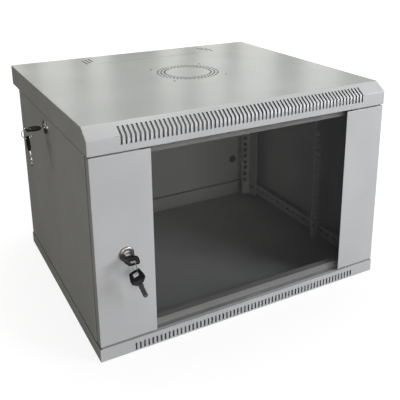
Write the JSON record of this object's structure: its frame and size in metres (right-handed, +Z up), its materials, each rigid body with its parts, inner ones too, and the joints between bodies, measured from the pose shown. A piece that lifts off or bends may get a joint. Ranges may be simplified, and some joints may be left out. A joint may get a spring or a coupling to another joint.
{
  "type": "wall mount network cabinet",
  "caption": "Wall-hung steel enclosure for nineteen inch rack equipment, with a hinged glass door, tilting side panels, cam locks with keys, and a vented, fan-ready roof.",
  "frame": {"origin": "underside of the base tray, at the middle of the body's footprint", "axes": "+X to the right as seen from the front, -Y out of the front door, +Z up"},
  "size_m": [0.5766, 0.519, 0.366],
  "materials": {
    "grey_powder_coat": "light grey powder coat, semi gloss",
    "zinc_plated_steel": "zinc plated, dull",
    "hinge_brass": "turned, plain",
    "smoked_glass": "tempered, smoke tint, polished edges",
    "bonding_tape": "black foam tape",
    "bright_nickel": "bright nickel plate",
    "black_key_plastic": "moulded, fine grain"
  },
  "bodies": {
    "cabinet": {"top_cover": "grey_powder_coat", "base_cover": "grey_powder_coat", "back_panel": "grey_powder_coat", "rear_rail_lower": "grey_powder_coat", "rear_rail_upper": "grey_powder_coat", "front_rail_lower": "grey_powder_coat", "front_rail_upper": "grey_powder_coat", "front_post_left": "grey_powder_coat", "front_post_right": "grey_powder_coat", "rear_post_left": "grey_powder_coat", "rear_post_right": "grey_powder_coat", "depth_rail_lower_left": "grey_powder_coat", "depth_rail_lower_right": "grey_powder_coat", "depth_rail_upper_left": "grey_powder_coat", "depth_rail_upper_right": "grey_powder_coat", "rack_rail_front_left": "grey_powder_coat", "rack_rail_front_right": "grey_powder_coat", "rack_rail_rear_left": "grey_powder_coat", "rack_rail_rear_right": "grey_powder_coat", "wall_rail_left": "grey_powder_coat", "wall_rail_right": "grey_powder_coat", "rail_bolts": "zinc_plated_steel", "hinge_bushes": "hinge_brass"},
    "door": {"door_lock_strip": "grey_powder_coat", "door_hinge_strip": "grey_powder_coat", "door_glass": "smoked_glass", "door_glass_tapes": "bonding_tape", "door_hinge_pins": "zinc_plated_steel", "door_lock_housing": "bright_nickel", "door_lock_nut": "zinc_plated_steel"},
    "door_plug": {"door_lock_plug": "bright_nickel", "door_lock_cam": "zinc_plated_steel", "door_key_bow": "black_key_plastic", "door_key_blade": "bright_nickel"},
    "door_ring": {"door_key_ring": "bright_nickel"},
    "door_spare_key": {"door_spare_bow": "black_key_plastic", "door_spare_blade": "bright_nickel"},
    "left_panel": {"side_panel_left": "grey_powder_coat", "left_lock_housing": "bright_nickel", "left_lock_nut": "zinc_plated_steel"},
    "left_plug": {"left_lock_plug": "bright_nickel", "left_lock_cam": "zinc_plated_steel", "left_key_bow": "black_key_plastic", "left_key_blade": "bright_nickel"},
    "left_ring": {"left_key_ring": "bright_nickel"},
    "left_spare_key": {"left_spare_bow": "black_key_plastic", "left_spare_blade": "bright_nickel"},
    "right_panel": {"side_panel_right": "grey_powder_coat", "right_lock_housing": "bright_nickel", "right_lock_nut": "zinc_plated_steel"},
    "right_plug": {"right_lock_plug": "bright_nickel", "right_lock_cam": "zinc_plated_steel"}
  },
  "joints": [
    {"name": "door_hinge", "type": "hinge", "parent": "cabinet", "child": "door", "pos_m": [0.258, -0.207, 0.1755], "axis": [0, 0, 1], "range_deg": [0, 180]},
    {"name": "door_lock_turn", "type": "hinge", "parent": "door", "child": "door_plug", "pos_m": [-0.2185, -0.215, 0.17], "axis": [0, 1, 0], "range_deg": [0, 90]},
    {"name": "door_ring_swing", "type": "hinge", "parent": "door_plug", "child": "door_ring", "pos_m": [-0.2185, -0.2463, 0.17], "axis": [1, 0, 0], "range_deg": [-35, 10]},
    {"name": "door_spare_swing", "type": "hinge", "parent": "door_ring", "child": "door_spare_key", "pos_m": [-0.2185, -0.2463, 0.1548], "axis": [0, 1, 0], "range_deg": [-45, 45]},
    {"name": "left_panel_tilt", "type": "hinge", "parent": "cabinet", "child": "left_panel", "pos_m": [-0.2675, 0, 0.022], "axis": [0, -1, 0], "range_deg": [0, 25]},
    {"name": "left_lock_turn", "type": "hinge", "parent": "left_panel", "child": "left_plug", "pos_m": [-0.266, 0.016, 0.307], "axis": [-1, 0, 0], "range_deg": [0, 90]},
    {"name": "left_ring_swing", "type": "hinge", "parent": "left_plug", "child": "left_ring", "pos_m": [-0.2973, 0.016, 0.307], "axis": [0, -1, 0], "range_deg": [-35, 10]},
    {"name": "left_spare_swing", "type": "hinge", "parent": "left_ring", "child": "left_spare_key", "pos_m": [-0.2973, 0.016, 0.2918], "axis": [1, 0, 0], "range_deg": [-45, 45]},
    {"name": "right_panel_tilt", "type": "hinge", "parent": "cabinet", "child": "right_panel", "pos_m": [0.2675, 0, 0.022], "axis": [0, 1, 0], "range_deg": [0, 25]},
    {"name": "right_lock_turn", "type": "hinge", "parent": "right_panel", "child": "right_plug", "pos_m": [0.266, 0.016, 0.307], "axis": [-1, 0, 0], "range_deg": [0, 90]}
  ]
}
